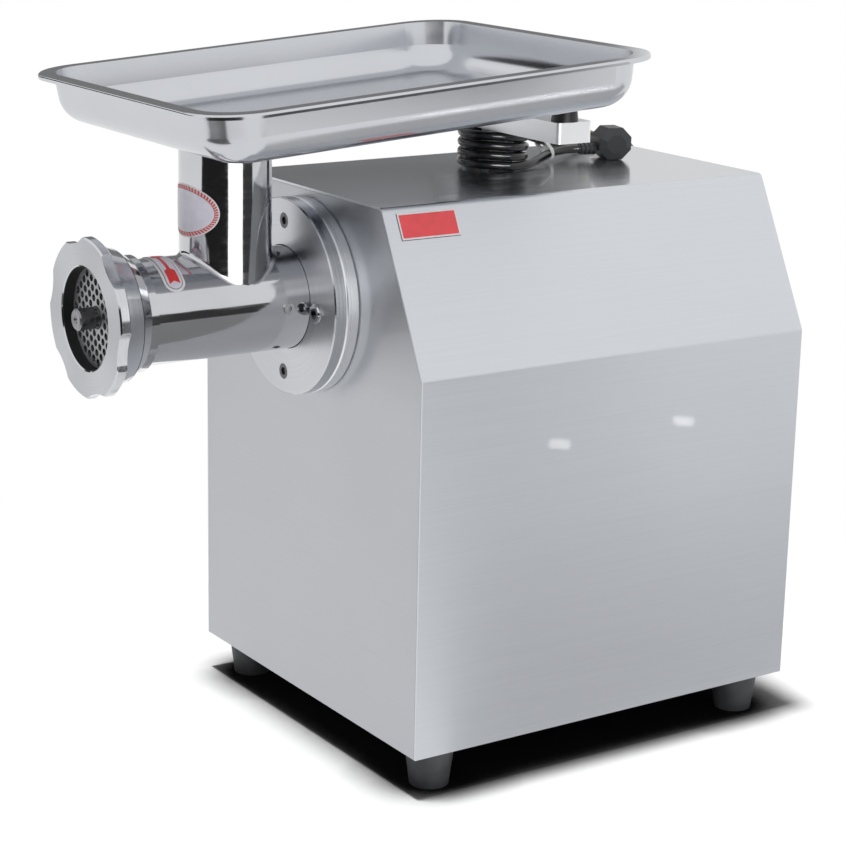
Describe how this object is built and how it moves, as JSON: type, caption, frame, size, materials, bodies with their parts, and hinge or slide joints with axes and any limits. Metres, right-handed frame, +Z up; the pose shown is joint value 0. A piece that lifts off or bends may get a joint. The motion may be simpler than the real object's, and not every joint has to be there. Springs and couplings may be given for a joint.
{
  "type": "electric meat grinder",
  "caption": "Bench-top electric meat grinder: stainless housing with sloped shoulders, horizontal grinding head with ring nut, feed throat under a pan-shaped tray, mains cord coiled on top.",
  "frame": {"origin": "floor level under the middle of the part without its cord", "axes": "-Y out of the front of the grinding head, +X to the right seen from the front, +Z up"},
  "size_m": [0.276, 0.532, 0.4674],
  "materials": {
    "brushed_stainless": "brushed lengthwise",
    "satin_stainless": "satin",
    "polished_steel": "polished",
    "plain_steel": "machined",
    "cast_steel": "tinned",
    "cast_aluminium": "as cast",
    "core_iron": "laminated",
    "copper": "varnished wire",
    "bronze": "machined",
    "pin_brass": "plain",
    "grey_rubber": "matte",
    "black_rubber": "semi-gloss",
    "black_plastic": "fine grain",
    "rocker_plastic": "gloss",
    "plug_plastic": "moulded",
    "white_plastic": "gloss"
  },
  "bodies": {
    "housing": {"wrap_cover": "brushed_stainless", "front_panel": "brushed_stainless", "rear_panel": "brushed_stainless", "base_plate": "brushed_stainless", "front_disc": "polished_steel", "rear_disc": "polished_steel", "tray_rest_bar": "polished_steel", "tray_rest_post": "polished_steel", "tie_rods": "plain_steel", "rear_panel_screws": "plain_steel", "foot_screws": "plain_steel", "disc_bolts": "plain_steel", "gearbox_bolts": "plain_steel", "output_bearings": "plain_steel", "countershaft_bearings": "plain_steel", "motor_bearings": "plain_steel", "motor_cradle": "plain_steel", "capacitor_clip": "plain_steel", "motor_shell": "plain_steel", "gearbox_case": "cast_aluminium", "gearbox_cover": "cast_aluminium", "motor_front_bell": "cast_aluminium", "motor_rear_bell": "cast_aluminium", "run_capacitor": "cast_aluminium", "stator_core": "core_iron", "stator_windings": "copper", "plug_pins": "pin_brass", "foot_front_right": "grey_rubber", "foot_front_left": "grey_rubber", "foot_rear_right": "grey_rubber", "foot_rear_left": "grey_rubber", "shaft_seal": "grey_rubber", "bumper_right": "black_rubber", "bumper_left": "black_rubber", "cord_coil": "black_rubber", "cord_lead": "black_rubber", "cord_tail": "black_rubber", "cord_gland": "black_plastic", "switch_body": "black_plastic", "terminal_block": "black_plastic", "plug_body": "plug_plastic", "cord_tie": "white_plastic"},
    "rotor": {"motor_shaft": "plain_steel", "rotor_core": "core_iron", "cooling_fan": "black_plastic"},
    "counter": {"countershaft": "plain_steel", "countershaft_gear": "plain_steel"},
    "drive": {"output_shaft": "plain_steel", "output_gear": "plain_steel"},
    "lock": {"lock_screw": "plain_steel"},
    "rocker": {"switch_rocker": "rocker_plastic"},
    "head": {"head_body": "polished_steel", "head_pins": "plain_steel", "auger_bush": "bronze"},
    "screw": {"auger": "cast_steel", "auger_stud": "plain_steel", "knife": "plain_steel"},
    "plate": {"grinder_plate": "plain_steel"},
    "nut": {"ring_nut": "polished_steel"},
    "feed_tray": {"tray": "satin_stainless"}
  },
  "joints": [
    {"name": "rotor_spin", "type": "hinge", "parent": "housing", "child": "rotor", "pos_m": [0, 0.067, 0.166], "axis": [0, 1, 0], "continuous": true},
    {"name": "counter_spin", "type": "hinge", "parent": "housing", "child": "counter", "pos_m": [0, -0.033, 0.235], "axis": [0, 1, 0], "continuous": true},
    {"name": "drive_spin", "type": "hinge", "parent": "housing", "child": "drive", "pos_m": [0, -0.033, 0.306], "axis": [0, 1, 0], "continuous": true},
    {"name": "lock_turn", "type": "hinge", "parent": "housing", "child": "lock", "pos_m": [0.0412, -0.101, 0.3024], "axis": [0, -1, 0], "range_deg": [0, 360]},
    {"name": "rocker_tilt", "type": "hinge", "parent": "housing", "child": "rocker", "pos_m": [-0.11096, -0.013, 0.3251], "axis": [0, -1, 0], "range_deg": [0, 16]},
    {"name": "head_slide", "type": "slide", "parent": "housing", "child": "head", "axis": [0, -1, 0], "range_m": [0, 0.04]},
    {"name": "screw_spin", "type": "hinge", "parent": "head", "child": "screw", "pos_m": [0, -0.163, 0.306], "axis": [0, 1, 0], "continuous": true},
    {"name": "plate_slide", "type": "slide", "parent": "head", "child": "plate", "axis": [0, -1, 0], "range_m": [0, 0.009]},
    {"name": "nut_turn", "type": "hinge", "parent": "plate", "child": "nut", "pos_m": [0, -0.233, 0.306], "axis": [0, -1, 0], "range_deg": [0, 1080]},
    {"name": "tray_lift", "type": "slide", "parent": "head", "child": "feed_tray", "axis": [0, 0, 1], "range_m": [0, 0.06]}
  ],
  "couplings": [
    {"joint": "counter_spin", "follows": "rotor_spin", "ratio": -0.21053},
    {"joint": "drive_spin", "follows": "rotor_spin", "ratio": 0.056391},
    {"joint": "screw_spin", "follows": "rotor_spin", "ratio": 0.056391},
    {"joint": "plate_slide", "follows": "nut_turn", "m_per_rad": 0.00047746}
  ]
}
